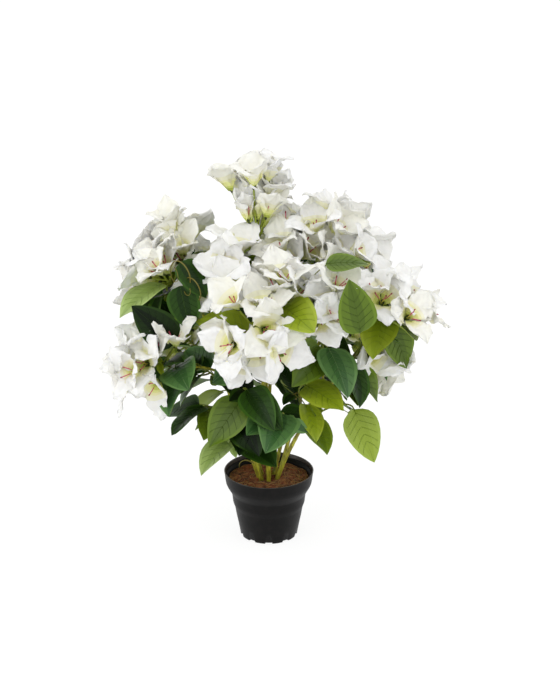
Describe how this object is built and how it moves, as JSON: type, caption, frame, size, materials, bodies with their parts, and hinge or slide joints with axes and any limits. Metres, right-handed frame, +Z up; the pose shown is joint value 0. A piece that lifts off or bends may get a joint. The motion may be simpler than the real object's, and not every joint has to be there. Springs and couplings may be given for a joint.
{
  "type": "artificial bougainvillea bush in a pot",
  "caption": "Artificial bougainvillea bush with white blossom and green leaves on wired stems, standing in a black plastic nursery pot with brown filling.",
  "frame": {"origin": "middle of the pot's flat underside", "axes": "+Z up along the pot's axis, -Y towards the side that the bush shows best, +X to the right seen from there"},
  "size_m": [0.4484, 0.387, 0.5232],
  "materials": {
    "pot": "moulded black plastic, slightly glossy",
    "fill": "rough brown fibrous filling over cement",
    "stem": "yellow-green plastic over wire",
    "foliage": "printed leaf cloth with a slight gloss",
    "blossom": "thin crinkled white cloth"
  },
  "bodies": {
    "root": {"blossom_back": "blossom", "blossom_back_left": "blossom", "blossom_back_low": "blossom", "blossom_back_low_left": "blossom", "blossom_back_low_right": "blossom", "blossom_back_right": "blossom", "blossom_centre_left": "blossom", "blossom_centre_right": "blossom", "blossom_front": "blossom", "blossom_front_high": "blossom", "blossom_left": "blossom", "blossom_lower_left": "blossom", "blossom_lower_right": "blossom", "blossom_right": "blossom", "blossom_right_centre": "blossom", "blossom_top": "blossom", "blossom_upper_left": "blossom", "blossom_upper_right": "blossom", "bough_back_low": "stem", "bough_back_low_left": "stem", "bough_back_low_right": "stem", "bough_centre_left": "stem", "bough_centre_right": "stem", "bough_front_high": "stem", "bough_lower_left": "stem", "bough_lower_right": "stem", "bough_right_centre": "stem", "fill": "fill", "foliage_back_left_low": "foliage", "foliage_back_middle": "foliage", "foliage_back_right_low": "foliage", "foliage_front_bright": "foliage", "foliage_front_left": "foliage", "foliage_front_right": "foliage", "foliage_front_round": "foliage", "foliage_hanging_right": "foliage", "foliage_left_low": "foliage", "foliage_left_middle": "foliage", "foliage_middle": "foliage", "foliage_pot_left": "foliage", "foliage_right_back": "foliage", "foliage_right_dark": "foliage", "pot": "pot", "stem_back": "stem", "stem_back_left": "stem", "stem_back_right": "stem", "stem_front": "stem", "stem_left": "stem", "stem_right": "stem", "stem_top": "stem", "stem_upper_left": "stem", "stem_upper_right": "stem"}
  },
  "joints": []
}
